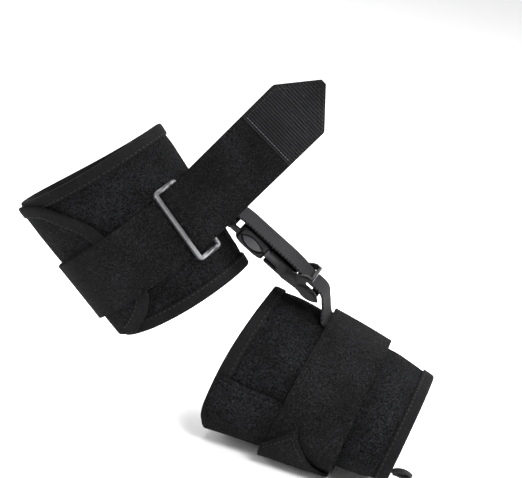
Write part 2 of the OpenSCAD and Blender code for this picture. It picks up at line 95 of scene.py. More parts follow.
def edge_between(rows, place):
    """Angle of a free edge at a place, from rows of (place, angle)."""
    return float(np.interp(place, [row[0] for row in rows], [row[1] for row in rows]))


def hugged(start, end, count, edge):
    """Steps from start to end, with one more close to each end, which keeps a cloth's edge crisp."""
    inner = steps(start, end, count)
    sign = 1 if end > start else -1
    return [start, start + sign * edge] + inner[1:-1] + [end - sign * edge, end]


# ---- Shape of the leg cuff, in millimetres: angle from the front over the outer side to the back

LEG_LOW, LEG_HIGH = vec(-88, 0, 62), vec(-161, 0, 126)
LEG_LENGTH = float(np.linalg.norm(LEG_HIGH - LEG_LOW))
LEG_AXIS = (LEG_HIGH - LEG_LOW) / LEG_LENGTH
LEG_FRONT = vec(math.cos(math.radians(43.2)), 0, math.sin(math.radians(43.2)))
OUTER = vec(0, -1, 0)
LEG_LOW_DEPTH, LEG_HIGH_DEPTH, LEG_ROUND, SIDE_DIP = 85, 95, 0.89, 2.2


def leg_point(angle, share, lift):
    a = math.radians(angle)
    half = (LEG_LOW_DEPTH + (LEG_HIGH_DEPTH - LEG_LOW_DEPTH) * share) / 2
    along_axis = LEG_LOW + LEG_AXIS * (LEG_LENGTH * share - SIDE_DIP * math.sin(a) ** 2)
    forward = LEG_FRONT * ((half + lift) * math.cos(a))
    return along_axis + forward + OUTER * ((half * LEG_ROUND + lift) * math.sin(a))


def leg_place(share, angle, lift):
    return leg_point(angle, share, lift)


# ---- Shape of the foot wrap: x along the sole, angle 0 on the instep, 90 on the outer side, 180 on the sole

WRAP_REAR, WRAP_FRONT = -53.263, 55.437
SOLE_FACE, WAIST, LEAN, TWIST = -4, 0.34, 0.19, 0.06
ANKLE_TOP, TOP_FALL, TOP_CURVE = 69.3, 0.265, 0.00096
REAR_WIDTH, WIDENING, UPPER_POWER, LOWER_POWER = 76, 21, 0.92, 0.62
BOW, BOW_FROM, BOW_LENGTH = 7, 10, 66


def signed_power(v, p):
    return math.copysign(abs(v) ** p, v)


def wrap_top(x):
    return ANKLE_TOP - TOP_FALL * (x + 4) - TOP_CURVE * (x + 4) ** 2


def wrap_point(x, angle, lift):
    a = math.radians(angle)
    top = wrap_top(x)
    middle = SOLE_FACE + (top - SOLE_FACE) * WAIST
    upper = math.cos(a) >= 0
    reach = top - middle if upper else middle - SOLE_FACE
    power = UPPER_POWER if upper else LOWER_POWER
    half = (REAR_WIDTH + WIDENING * (x - WRAP_REAR) / (WRAP_FRONT - WRAP_REAR)) / 2
    side = -(half + lift) * signed_power(math.sin(a), power)
    z = middle + (reach + lift) * signed_power(math.cos(a), power)
    bow = BOW * max(0.0, (BOW_FROM - x) / BOW_LENGTH) ** 2 * math.sin(a) ** 2
    return vec(x - bow + LEAN * z, side + TWIST * (z - middle), z)


def rumple(p, size, seed=0.0):
    """Soft uneven height of cloth at a point, from -1 to 1, over folds of about the given size."""
    return noise.noise(Vector((p[0] / size + seed, p[1] / size - seed, p[2] / size + 2 * seed)))


# ---- Meshes

def deselect_all():
    if bpy.context.object and bpy.context.object.mode != "OBJECT":
        bpy.ops.object.mode_set(mode="OBJECT")
    bpy.ops.object.select_all(action="DESELECT")


def make_active(piece):
    deselect_all()
    piece.select_set(True)
    bpy.context.view_layer.objects.active = piece


def finish_with(piece, kind, **settings):
    """Adds a modifier and applies it."""
    make_active(piece)
    modifier = piece.modifiers.new(kind.title(), kind)
    for key, value in settings.items():
        setattr(modifier, key, value)
    bpy.ops.object.modifier_apply(modifier=modifier.name)


def shade_smooth(piece):
    for face in piece.data.polygons:
        face.use_smooth = True


def mesh_piece(name, points, faces, weave=None):
    """New mesh from points in millimetres; weave gives each face corner its place on the cloth, in metres."""
    mesh = bpy.data.meshes.new(name)
    mesh.from_pydata([tuple(p * MM) for p in points], [], faces)
    if weave is not None:
        layer = mesh.uv_layers.new(name="Weave")
        layer.data.foreach_set("uv", np.array(weave, np.float32).ravel())
    mesh.update()
    piece = bpy.data.objects.new(name, mesh)
    bpy.context.collection.objects.link(piece)
    return piece


def along(points):
    """Distance to each point along a line of points, in metres."""
    gaps = [0.0] + [float(np.linalg.norm(b - a)) * MM for a, b in zip(points, points[1:])]
    return list(np.cumsum(gaps))


def closed_piece(name, points, faces, weave):
    """Smooth piece from a closed mesh, turned right side out if its volume comes out negative."""
    piece = mesh_piece(name, points, faces, weave)
    work = bmesh.new()
    work.from_mesh(piece.data)
    if work.calc_volume(signed=True) < 0:
        bmesh.ops.reverse_faces(work, faces=work.faces)
    work.to_mesh(piece.data)
    work.free()
    finish_with(piece, "SUBSURF", levels=1, render_levels=1, uv_smooth="NONE")
    shade_smooth(piece)
    return piece


def cloth(name, outer, inner, closed=False):
    """Closed sheet between two grids of points. Rows run across the cloth, columns along it."""
    rows, cols = len(outer), len(outer[0])
    laps = cols if closed else cols - 1
    lengths = along(list(outer[rows // 2]) + ([outer[rows // 2][0]] if closed else []))
    widths = along([row[cols // 2] for row in outer])
    points = [p for row in outer for p in row] + [p for row in inner for p in row]
    faces, weave = [], []

    def add(corners):
        faces.append([(rows * cols if under else 0) + r * cols + c % cols for r, c, under in corners])
        weave.extend((lengths[c], widths[r]) for r, c, under in corners)

    for r in range(rows - 1):
        for c in range(laps):
            add([(r, c, 0), (r, c + 1, 0), (r + 1, c + 1, 0), (r + 1, c, 0)])
            add([(r, c, 1), (r + 1, c, 1), (r + 1, c + 1, 1), (r, c + 1, 1)])
    for c in range(laps):
        add([(0, c, 1), (0, c + 1, 1), (0, c + 1, 0), (0, c, 0)])
        add([(rows - 1, c, 0), (rows - 1, c + 1, 0), (rows - 1, c + 1, 1), (rows - 1, c, 1)])
    if not closed:
        for r in range(rows - 1):
            add([(r, 0, 0), (r + 1, 0, 0), (r + 1, 0, 1), (r, 0, 1)])
            add([(r, cols - 1, 1), (r + 1, cols - 1, 1), (r + 1, cols - 1, 0), (r, cols - 1, 0)])
    return closed_piece(name, points, faces, weave)


def surface_cloth(name, place, across, along_it, low, top, closed=False):
    """Cloth on a surface: place(a, b, lift), where low and top are numbers or functions of a and b."""
    low_at = low if callable(low) else (lambda a, b: low)
    top_at = top if callable(top) else (lambda a, b: top)
    outer = [[place(a, b, top_at(a, b)) for b in along_it] for a in across]
    inner = [[place(a, b, low_at(a, b)) for b in along_it] for a in across]
    return cloth(name, outer, inner, closed)


def swept(name, stations, closed):
    """Closed tube through stations, each a list of the same number of points round its section."""
    count, side = len(stations), len(stations[0])
    points = [p for s in stations for p in s]
    lengths = along([s[0] for s in stations] + ([stations[0][0]] if closed else []))
    widths = along(list(stations[0]) + [stations[0][0]])
    faces, weave = [], []
    for r in range(count if closed else count - 1):
        for k in range(side):
            corners = [(r, k), (r, k + 1), (r + 1, k + 1), (r + 1, k)]
            faces.append([(i % count) * side + j % side for i, j in corners])
            weave.extend((lengths[i], widths[j]) for i, j in corners)
    if not closed:
        for r, order in ((0, range(side)), (count - 1, range(side - 1, -1, -1))):
            faces.append([r * side + k for k in order])
            weave.extend((lengths[r], widths[k]) for k in order)
    return closed_piece(name, points, faces, weave)


def ribbon(name, left, right, thickness):
    """Strap between two edges, each a list of points along it."""
    middle = [(a + b) / 2 for a, b in zip(left, right)]
    last = len(middle) - 1
    outs = []
    for i in range(last + 1):
        run = middle[min(last, i + 1)] - middle[max(0, i - 1)]
        outs.append(unit(np.cross(run, right[i] - left[i])) * thickness / 2)
    shares = [0.0, 0.02, 0.25, 0.5, 0.75, 0.98, 1.0]
    grid = [[a + (b - a) * s for a, b in zip(left, right)] for s in shares]
    outer = [[p + o for p, o in zip(row, outs)] for row in grid]
    inner = [[p - o for p, o in zip(row, outs)] for row in grid]
    return cloth(name, outer, inner)


def smooth_route(points, per=4):
    """Points of a smooth line through the given ones."""
    pts = [np.array(p, float) for p in points]
    pts = [2 * pts[0] - pts[1]] + pts + [2 * pts[-1] - pts[-2]]
    line = []
    for i in range(1, len(pts) - 2):
        p0, p1, p2, p3 = pts[i - 1 : i + 3]
        for k in range(per):
            t = k / per
            bend, twist = 2 * p0 - 5 * p1 + 4 * p2 - p3, 3 * p1 - p0 - 3 * p2 + p3
            line.append(0.5 * (2 * p1 + (p2 - p0) * t + bend * t**2 + twist * t**3))
    return line + [pts[-2]]


def one_stitch():
    """A single raised stitch, 1 mm long along X, as points and faces."""
    deselect_all()
    bpy.ops.mesh.primitive_uv_sphere_add(segments=6, ring_count=4, radius=0.5)
    piece = bpy.context.object
    bpy.ops.object.mode_set(mode="EDIT")
    bpy.ops.mesh.select_all(action="SELECT")
    bpy.ops.transform.resize(value=(1.0, 0.36, 0.3))
    bpy.ops.object.mode_set(mode="OBJECT")
    points = [np.array(v.co) for v in piece.data.vertices]
    faces = [list(f.vertices) for f in piece.data.polygons]
    bpy.data.meshes.remove(piece.data)
    return points, faces


def stitch_row(name, path, normals, body, pitch=3.2, length=2.1, closed=False):
    """Line of stitches lying on a surface along a path of points."""
    shape, shape_faces = one_stitch()
    ends = list(path) + ([path[0]] if closed else [])
    sides = list(normals) + ([normals[0]] if closed else [])
    marks = [m / MM for m in along(ends)]
    count = max(2, int(marks[-1] / pitch))
    points, faces = [], []
    for i in range(count):
        where = (i + 0.5) * marks[-1] / count
        k = int(np.searchsorted(marks, where)) - 1
        k = min(max(k, 0), len(ends) - 2)
        f = (where - marks[k]) / max(marks[k + 1] - marks[k], 1e-6)
        middle = ends[k] + (ends[k + 1] - ends[k]) * f
        run = unit(ends[k + 1] - ends[k])
        out = unit(sides[k])
        side = np.cross(out, run)
        base = len(points)
        for p in shape:
            points.append(middle + run * p[0] * length + side * p[1] * STITCH_WIDE + out * p[2] * STITCH_HIGH)
        faces += [[base + j for j in face] for face in shape_faces]
    piece = mesh_piece(name, points, faces)
    shade_smooth(piece)
    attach(piece, body)
    dress(piece, "Stitching Thread")
    return piece


def stitches_on(name, spots, surface, lift, body, **settings):
    """Stitches through spots on a surface: surface(spot, h) is the point h above a spot."""
    path = [surface(spot, lift) for spot in spots]
    ups = [unit(surface(spot, lift + 1) - p) for spot, p in zip(spots, path)]
    return stitch_row(name, path, ups, body, **settings)


def welded_copy(name, node, gap, flat_angle=None):
    """Copy of a rigid node with points closer than gap joined, and nearly flat neighbours merged."""
    piece = bpy.data.objects.new(name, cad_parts[node].data.copy())
    bpy.context.collection.objects.link(piece)
    work = bmesh.new()
    work.from_mesh(piece.data)
    bmesh.ops.remove_doubles(work, verts=work.verts, dist=gap)
    if flat_angle:
        bmesh.ops.dissolve_limit(work, angle_limit=flat_angle, verts=work.verts, edges=work.edges)
    work.to_mesh(piece.data)
    work.free()
    return piece


def eased_copy(name, node, body, width=0.3):
    """Copy of a rigid node with its edges rounded off, in its place on the same body."""
    piece = welded_copy(name, node, 1e-6, math.radians(0.6))
    finish_with(piece, "BEVEL", width=width * MM, segments=2, limit_method="ANGLE",
                angle_limit=math.radians(40), use_clamp_overlap=True)
    make_active(piece)
    bpy.ops.object.shade_smooth_by_angle(angle=math.radians(35))
    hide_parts(node)
    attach(piece, body)
    return piece


# ---- Finishes

class Wiring:
    """Short way to add and join nodes in one node tree."""

    def __init__(self, tree):
        self.tree = tree

    def add(self, kind, inputs=(), **settings):
        node = self.tree.nodes.new("ShaderNode" + kind)
        for key, value in settings.items():
            setattr(node, key, value)
        for key, value in dict(inputs).items():
            self.feed(node.inputs[key], value)
        return node

    def feed(self, socket, value):
        if isinstance(value, bpy.types.NodeSocket):
            self.tree.links.new(value, socket)
        else:
            socket.default_value = value

    def maths(self, operation, a, b=0.0):
        node = self.add("Math", operation=operation)
        self.feed(node.inputs[0], a)
        self.feed(node.inputs[1], b)
        return node.outputs[0]

    def times(self, a, b):
        return self.maths("MULTIPLY", a, b)

    def plus(self, a, b):
        return self.maths("ADD", a, b)

    def grain(self, vector, scale, detail=2.0, rough=0.5):
        inputs = {"Vector": vector, "Scale": scale, "Detail": detail, "Roughness": rough}
        return self.add("TexNoise", inputs).outputs["Fac"]

    def spread(self, value, low, high, new_low=0.0, new_high=1.0):
        limits = {"From Min": low, "From Max": high, "To Min": new_low, "To Max": new_high}
        return self.add("MapRange", {"Value": value, **limits}).outputs["Result"]

    def blend(self, share, first, second):
        node = self.add("Mix", data_type="RGBA")
        for i, value in ((0, share), (6, first), (7, second)):
            self.feed(node.inputs[i], value)
        return node.outputs[2]

    def fill(self, shader, height, strength, distance, inputs):
        """Fills the inputs of a shader, with bumps from a height."""
        bump = self.add("Bump", {"Height": height, "Strength": strength, "Distance": distance})
        for key, value in {**inputs, "Normal": bump.outputs["Normal"]}.items():
            self.feed(shader.inputs[key], value)


def new_group(name, inputs, outputs):
    """Empty shader group, its wiring, what it is given and what it puts out."""
    group = bpy.data.node_groups.new(name, "ShaderNodeTree")
    for in_out, sockets in (("INPUT", inputs), ("OUTPUT", outputs)):
        for label, kind in sockets.items():
            group.interface.new_socket(name=label, in_out=in_out, socket_type="NodeSocket" + kind)
    given, out = group.nodes.new("NodeGroupInput"), group.nodes.new("NodeGroupOutput")
    return group, Wiring(group), given.outputs, out.inputs


def woven_ribs_group():
    """Height of ribs across a strap, crossed by finer threads."""
    group, w, given, out = new_group(
        "Woven Ribs",
        {"Weave": "Vector", "Ribs per Metre": "Float", "Threads per Metre": "Float", "Slant": "Float",
         "Thread Share": "Float"},
        {"Height": "Float"},
    )
    split = w.add("SeparateXYZ", {"Vector": given["Weave"]}).outputs
    length = w.plus(split["X"], w.times(w.grain(given["Weave"], 180.0), 0.0006))
    length = w.plus(length, w.times(split["Y"], given["Slant"]))
    rib, thread = (
        w.spread(w.maths("SINE", w.times(w.times(place, given[count]), 2 * math.pi)), -1.0, 1.0)
        for place, count in ((length, "Ribs per Metre"), (split["Y"], "Threads per Metre"))
    )
    both = {"Factor": given["Thread Share"], "A": rib, "B": w.times(rib, thread)}
    w.feed(out["Height"], w.add("Mix", both, data_type="FLOAT").outputs["Result"])
    return group


def fleece_nap_group():
    """Shade of a short, slightly clumped nap: its height, which the fabrics use for bumps and as painted shade,
    darker in the hollows between tufts.
    """
    group, w, given, out = new_group(
        "Fleece Nap", {"Place": "Vector", "Tufts per Metre": "Float"}, {"Shade": "Float"}
    )
    place, tufts = given["Place"], given["Tufts per Metre"]
    coarse = w.grain(place, tufts, 3.0, 0.6)
    fine = w.grain(place, w.times(tufts, 2.7), 2.0, 0.6)
    curl = w.add("TexVoronoi", {"Vector": place, "Scale": w.times(tufts, 1.4)})
    height = w.plus(w.times(coarse, 0.55), w.times(fine, 0.3))
    height = w.plus(height, w.times(curl.outputs["Distance"], 0.25))
    w.feed(out["Shade"], w.spread(height, 0.4, 0.72))
    return group


def cloth_wear_group():
    """Slow unevenness of a worn cloth's colour, with a little pale lint."""
    group, w, given, out = new_group("Cloth Wear", {"Place": "Vector"}, {"Wear": "Float", "Lint": "Float"})
    w.feed(out["Wear"], w.spread(w.grain(given["Place"], 38.0, 4.0, 0.55), 0.35, 0.68))
    w.feed(out["Lint"], w.spread(w.grain(given["Place"], 900.0, 1.0, 0.5), 0.70, 0.80))
    return group


def new_finish(name):
    finish = bpy.data.materials.new(name)
    finish.use_nodes = True
    w = Wiring(finish.node_tree)
    place = w.add("TexCoord").outputs["Object"]
    return finish, w, finish.node_tree.nodes["Principled BSDF"], place


def hue(name, share=1.0):
    """The user's colour of that name, made darker or paler, with its alpha."""
    return scaled(getattr(bpy.context.scene.brace_colours, name), share)


def scaled(colour, share):
    return tuple(min(c * share, 1.0) for c in colour[:3]) + (1.0,)


def cloth_finish(name, groups, dark, pale, nap, rough, depth, sheen, weave=None, fuzz=1.0):
    """Fabric: nap is tufts per metre, weave is ribs and threads per metre, slant and thread share."""
    finish, w, shader, place = new_finish(name)
    ribs_group, nap_group, wear_group = groups
    wear = w.add("Group", {"Place": place}, node_tree=wear_group)
    tufts = w.add("Group", {"Place": place, "Tufts per Metre": nap}, node_tree=nap_group)
    height, shade = tufts.outputs["Shade"], wear.outputs["Wear"]
    if weave:
        ribs = w.add("Group", node_tree=ribs_group)
        uv = w.add("UVMap", uv_map="Weave").outputs["UV"]
        for socket, value in zip(ribs.inputs, (uv, *weave)):
            w.feed(socket, value)
        height = w.plus(w.times(ribs.outputs["Height"], 1 - fuzz), w.times(height, fuzz))
    # Painted shade: the colour follows the bump height, dark in the hollows of the nap and ribs and pale on their
    # crowns, partly the fibres' own uneven tone; the slow real wear scales it, and the pale lint flecks are real.
    hollow_shade_and_wear_mask = w.times(w.spread(height, 0.1, 0.9), w.plus(w.times(shade, 0.5), 0.5))
    tone = w.blend(w.times(wear.outputs["Lint"], 0.25), w.blend(hollow_shade_and_wear_mask, dark, pale), scaled(pale, 4))
    w.fill(shader, height, 1.0, depth, {
        "Base Color": tone,
        "Roughness": w.spread(shade, 0.0, 1.0, rough - 0.06, min(rough + 0.06, 1.0)),
        "Sheen Weight": sheen,
        "Sheen Roughness": 0.45,
        "Specular IOR Level": 0.04,
    })


def thread_finish(name, dark, pale):
    finish, w, shader, place = new_finish(name)
    twist = w.grain(place, 2600.0, 1.0)
    w.fill(shader, twist, 0.6, 0.0001, {
        "Base Color": w.blend(w.spread(twist, 0.35, 0.65), dark, pale),
        "Roughness": w.spread(twist, 0.3, 0.7, 0.45, 0.65),
        "Sheen Weight": 0.02,
        "Specular IOR Level": 0.2,
    })


def plastic_finish(name, colour, rough, gloss):
    """Moulded plastic with faint sink marks, a fine mould grain and scuffs."""
    finish, w, shader, place = new_finish(name)
    sink, mould = w.grain(place, 120.0, 2.0), w.grain(place, 1800.0, 2.0)
    scuff = w.spread(w.grain(place, 420.0, 5.0, 0.7), 0.56, 0.72)
    w.fill(shader, w.plus(w.times(sink, 0.8), w.times(mould, 0.12)), 0.5, 0.00025, {
        "Base Color": w.blend(w.times(scuff, 0.4), colour, scaled(colour, 3)),
        "Roughness": w.plus(w.times(scuff, 0.22), w.spread(mould, 0.3, 0.7, rough, rough + 0.08)),
        "Specular IOR Level": gloss,
    })


def steel_finish(name, colour):
    """Satin grey wire with drawing lines along it and a few dull spots."""
    finish, w, shader, place = new_finish(name)
    turned = {"Vector": place, "Rotation": (0.0, math.radians(41.2), 0.0), "Scale": (0.15, 1.0, 1.0)}
    lines = w.grain(w.add("Mapping", turned).outputs["Vector"], 2400.0, 2.0)
    spots = w.spread(w.grain(place, 260.0, 4.0, 0.6), 0.45, 0.7)
    tone = w.blend(w.spread(lines, 0.3, 0.7), scaled(colour, 0.8), scaled(colour, 1.25))
    w.fill(shader, lines, 0.3, 0.00006, {
        "Base Color": w.blend(w.times(spots, 0.45), tone, scaled(colour, 0.5)),
        "Roughness": w.plus(w.spread(lines, 0.3, 0.7, 0.38, 0.48), w.times(spots, 0.12)),
        "Metallic": 1.0,
    })


# Each fabric: its base colour with the darkest share of it, painted as shade in the hollows of its nap and ribs,
# and the palest, on their crowns, and how it is made
FABRICS = {
    "Brushed Fleece": ("fabric", 0.0, 1.2, dict(nap=800.0, rough=0.95, depth=0.0014, sheen=0.004)),
    "Knitted Lining": ("fabric", 0.2, 1.6, dict(
        weave=(760.0, 620.0, 0.0, 0.7), nap=900.0, fuzz=0.35, rough=0.9, depth=0.0005, sheen=0.015)),
    "Edge Tape": ("strap", 0.15, 1.1, dict(
        weave=(1100.0, 900.0, 0.0, 0.45), nap=1500.0, fuzz=0.6, rough=0.85, depth=0.0004, sheen=0.008)),
    "Ribbed Elastic": ("strap", 0.0, 1.35, dict(
        weave=(760.0, 1300.0, 0.0, 0.35), nap=900.0, fuzz=0.8, rough=0.85, depth=0.0008, sheen=0.004)),
    "Ribbed Webbing": ("strap", 0.2, 2.4, dict(
        weave=(430.0, 900.0, 0.7, 0.35), nap=1600.0, fuzz=0.3, rough=0.75, depth=0.00022, sheen=0.012)),
    "Hook Tape": ("strap", 0.08, 2.6, dict(
        weave=(590.0, 1000.0, 0.0, 0.5), nap=1500.0, fuzz=0.35, rough=0.75, depth=0.0006, sheen=0.008)),
}


def make_finishes():
    if "Satin Steel" in bpy.data.materials:
        return
    groups = woven_ribs_group(), fleece_nap_group(), cloth_wear_group()
    for name, (base, dark, pale, settings) in FABRICS.items():
        cloth_finish(name, groups, hue(base, dark), hue(base, pale), **settings)
    thread_finish("Stitching Thread", hue("strap", 0.15), hue("strap", 0.5))
    thread_finish("Pale Stitching", hue("strap", 3.0), hue("strap", 7.0))
    plastic_finish("Black Plastic", hue("plastic"), 0.12, 0.13)
    plastic_finish("Matt Pad", hue("plastic", 5.0), 0.42, 0.4)
    steel_finish("Satin Steel", hue("ring"))


def dress(piece, finish):
    """Gives a piece its finish."""
    piece.data.materials.clear()
    piece.data.materials.append(bpy.data.materials[finish])


def patch(name, node, place, across, along_it, low, top, finish, body):
    """Flat tape patch sewn on a surface, in place of a CAD node."""
    piece = surface_cloth(name, place, hugged(*across, 10, (across[1] - across[0]) * 0.015),
                          hugged(*along_it, 16, 0.4), low, top)
    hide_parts(node)
    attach(piece, body)
    dress(piece, finish)
    return piece


# ---- Leg cuff

FLAP_EDGE = [
    (0.015, 128), (0.03, 122), (0.05, 116), (0.075, 110), (0.1, 105), (0.16, 97), (0.22, 93), (0.34, 90),
    (0.48, 91), (0.62, 95), (0.72, 99), (0.82, 108), (0.9, 117), (0.935, 122), (0.955, 128), (0.97, 137),
    (0.985, 150),
]
FLAP_BACK, BAND_BACK = 205, 292
FLAP_RADIUS = 43
PANEL_INNER, LINING_INNER, LINING_FACE = -3.0, -3.86, -3.08
STRAP_WIDTH, STRAP_THICK = 39.0, 1.6


def band_middle(angle):
    return 0.448 - 0.088 * ease(angle, 40, 175) * (1 - ease(angle, 200, BAND_BACK))


def band_lift(angle):
    over_flap = 4.75 * ease(angle, 72, 85) * (1 - ease(angle, 207, 224))
    to_ring = 2.35 * (1 - ease(angle, 51, 63))
    return 0.16 + over_flap + to_ring


def from_band(angle, share):
    """Distance in millimetres from the middle of the leg band; large where there is no band."""
    return abs(share - band_middle(angle)) * LEG_LENGTH if 46 < angle < BAND_BACK else 99.0


def leg_panel_lift(angle, share):
    p = leg_point(angle, share, 0)
    edge = min(share, 1 - share) * LEG_LENGTH
    free = ease(edge, 6.5, 13) * ease(from_band(angle, share), 18, 27)
    puff = 0.45 + 0.75 * rumple(p, 24) + 0.35 * rumple(p, 9, 3.0)
    pucker = 0.3 * math.sin(math.radians(angle) * 21 + 2 * rumple(p, 30)) * (1 - ease(edge, 9, 22))
    return -0.35 + (puff + pucker + 0.3) * free


def rim_profile(outer, inner):
    """Section of a folded tape: (distance in from the edge, height over the panel's face)."""
    half = [
        (6.8, 0.04), (6.95, 0.5), (6.2, 0.85), (3.6, 0.92), (1.0, 0.9), (-0.3, 0.7), (-0.9, 0.0), (-1.05, -1.0),
    ]
    fold = [(w, outer + h) for w, h in half] + [(w, inner - h) for w, h in reversed(half)]
    return fold + [(3.4, inner), (-0.02, inner), (-0.02, outer), (3.4, outer)]


def edge_tape(name, node, body, edge):
    """Folded and stitched tape round the edge of a tube: edge(angle, w, h) is w in from it and h up."""

    def place(angle, w, h):
        ruffle = 0.22 * rumple(edge(angle, 0, 0), 7, 5.0 if body == "leg_cuff" else 8.0)
        return edge(angle, w, h + ruffle * (1 if h > -2 else -0.4))

    profile = rim_profile(0.08, -4.08)
    tape = swept(name, [[place(a, w, h) for w, h in profile] for a in ROUND], closed=True)
    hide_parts(node)
    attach(tape, body)
    dress(tape, "Edge Tape")
    stitches_on(name + "_stitches", ROUND, lambda a, h: place(a, 5.3, h), 0.98, body, closed=True)


def leg_edge(share, inward):
    return lambda angle, w, h: leg_point(angle, share + inward * w / LEG_LENGTH, h)


def build_leg_cuff():
    panel = surface_cloth(
        "leg_cuff_padding", leg_place, hugged(0.004, 0.996, 22, 0.006), ROUND, PANEL_INNER,
        lambda s, a: leg_panel_lift(a, s), closed=True,
    )
    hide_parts("leg_cuff_panel")
    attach(panel, "leg_cuff")
    dress(panel, "Brushed Fleece")

    def sag(s, a):
        return LINING_INNER + 0.3 * rumple(leg_point(a, s, 0), 16, 7.0) * ease(min(s, 1 - s), 0.07, 0.15)

    lining = surface_cloth(
        "leg_cuff_soft_lining", leg_place, hugged(0.004, 0.996, 14, 0.006), ROUND, sag, LINING_FACE, closed=True
    )
    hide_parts("leg_cuff_lining")
    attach(lining, "leg_cuff")
    dress(lining, "Knitted Lining")
    edge_tape("leg_top_edge_tape", "leg_top_binding", "leg_cuff", leg_edge(1.0, -1))
    edge_tape("leg_bottom_edge_tape", "leg_bottom_binding", "leg_cuff", leg_edge(0.0, 1))
    patch("leg_hook_fastening", "leg_hook_patch", leg_place, (0.2, 0.56), (108, 192), 0.35, 1.05,
          "Hook Tape", "leg_cuff")


def flap_edge_line(count):
    """Even points along the flap's free edge, each (share, angle), with the direction into the flap."""
    coarse = [vec(s * LEG_LENGTH, a * math.pi / 180 * FLAP_RADIUS, 0) for s, a in FLAP_EDGE]
    line = smooth_route(coarse, 8)
    marks = along(line)
    even = [
        np.array([np.interp(m, marks, [p[k] for p in line]) for k in (0, 1)])
        for m in np.linspace(marks[0], marks[-1], count)
    ]
    stations = []
    for i, p in enumerate(even):
        run = even[min(i + 1, count - 1)] - even[max(i - 1, 0)]
        stations.append((p, unit(np.array([-run[1], run[0]]))))
    return stations


def flap_place(station, w, h):
    p = station[0] + station[1] * w
    return leg_point(p[1] * 180 / math.pi / FLAP_RADIUS, p[0] / LEG_LENGTH, h)


def build_leg_flap():
    shares = [0.015, 0.03, 0.05, 0.075, 0.1, 0.13] + steps(0.16, 0.86, 18) + [0.9, 0.935, 0.955, 0.97, 0.985]
    columns = hugged(0.0, 1.0, 34, 0.008)

    def place(s, v, h):
        first = edge_between(FLAP_EDGE, s) + 1.2
        return leg_point(first + (FLAP_BACK - first) * v, s, h)

    def top(s, v):
        p = place(s, v, 0)
        first = edge_between(FLAP_EDGE, s)
        free = ease(from_band(first + (FLAP_BACK - first) * v, s), 18, 27)
        swell = 3.35 + (0.15 + 0.45 * rumple(p, 20, 2.0) + 0.2 * rumple(p, 8, 1.0)) * free
        return swell + (0.9 - swell) * ease(v, 0.8, 1.0)

    def low(s, v):
        return 1.9 - 1.7 * ease(v, 0.8, 1.0)

    flap = surface_cloth("leg_flap_padding", place, shares, columns, low, top)
    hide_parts("leg_closure_flap")
    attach(flap, "leg_cuff")
    dress(flap, "Brushed Fleece")
    stations = flap_edge_line(110)
    profile = [
        (6.3, 3.86), (6.4, 4.3), (5.6, 4.62), (3.2, 4.7), (1.0, 4.66), (-0.3, 4.4), (-0.95, 3.7), (-1.05, 2.7),
        (-0.9, 1.75), (-0.3, 1.35), (0.4, 1.4), (0.5, 1.75), (-0.05, 2.0), (-0.05, 3.7), (1.2, 3.82), (3.6, 3.84),
    ]

    def section(station):
        ruffle = 0.2 * rumple(flap_place(station, 0, 0), 7, 4.0)
        return [flap_place(station, w, h + ruffle) for w, h in profile]

    tape = swept("leg_flap_edge_tape", [section(station) for station in stations], closed=False)
    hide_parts("leg_flap_binding")
    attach(tape, "leg_cuff")
    dress(tape, "Edge Tape")
    stitches_on("leg_flap_stitches", stations, lambda spot, h: flap_place(spot, 5.0, h), 4.72, "leg_cuff")


def build_leg_band():
    angles = hugged(BAND_BACK, 49.2, 120, 0.6)
    offsets = hugged(-STRAP_WIDTH / 2, STRAP_WIDTH / 2, 12, 0.45)

    def place(offset, angle, h):
        sway = 0.5 * rumple(vec(angle, 0, 0), 45, 9.0)
        return leg_point(angle, band_middle(angle) + (offset + sway) / LEG_LENGTH, h)

    def lift(offset, angle):
        wave = 0.16 * rumple(leg_point(angle, 0.45, 0), 15, 6.0) + 0.1 * (abs(offset) / 19.5) ** 4
        return band_lift(angle) + wave * ease(angle, 60, 75)

    band = surface_cloth(
        "leg_ribbed_band", place, offsets, angles, lift, lambda o, a: lift(o, a) + STRAP_THICK
    )
    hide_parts("leg_elastic_band")
    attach(band, "leg_cuff")
    dress(band, "Ribbed Elastic")


# ---- Ring and pull strap

RING_ANGLE, RING_SHARE, RING_BAR, BAR_GAP = 39, 0.448, 3.0, 16.0
LOOP_HALF, LOOP_LIFT, LOOP_THICK, BAR_TO_LOOP = 17, 0.8, 1.35, 0.82
BAR_TO_STRAP = 0.45
ACROSS_LEG = vec(LEG_AXIS[2], 0, -LEG_AXIS[0])
RING_OUT = ACROSS_LEG * math.cos(math.radians(RING_ANGLE)) + OUTER * math.sin(math.radians(RING_ANGLE))
RING_BACK = np.cross(RING_OUT, LEG_AXIS)
RING_CENTRE = leg_point(RING_ANGLE, RING_SHARE, 5.2)
ANCHORED_BAR = RING_CENTRE - RING_BACK * BAR_GAP / 2
FREE_BAR = RING_CENTRE + RING_BACK * BAR_GAP / 2
PULL_SLOPE, PULL_OUT = math.radians(58), math.radians(1)
PULL_FLAT = math.cos(PULL_OUT)
PULL = vec(PULL_FLAT * math.cos(PULL_SLOPE), -math.sin(PULL_OUT), PULL_FLAT * math.sin(PULL_SLOPE))
PULL_FACE = unit(np.cross(PULL, LEG_AXIS))
PULL_SIDE = np.cross(PULL_FACE, PULL)
TAIL, TAB, SHOULDER = 72.0, 49.0, 29.0


def on_ring(centre, degrees, radius):
    a = math.radians(degrees)
    return centre + radius * (math.cos(a) * RING_BACK + math.sin(a) * RING_OUT)


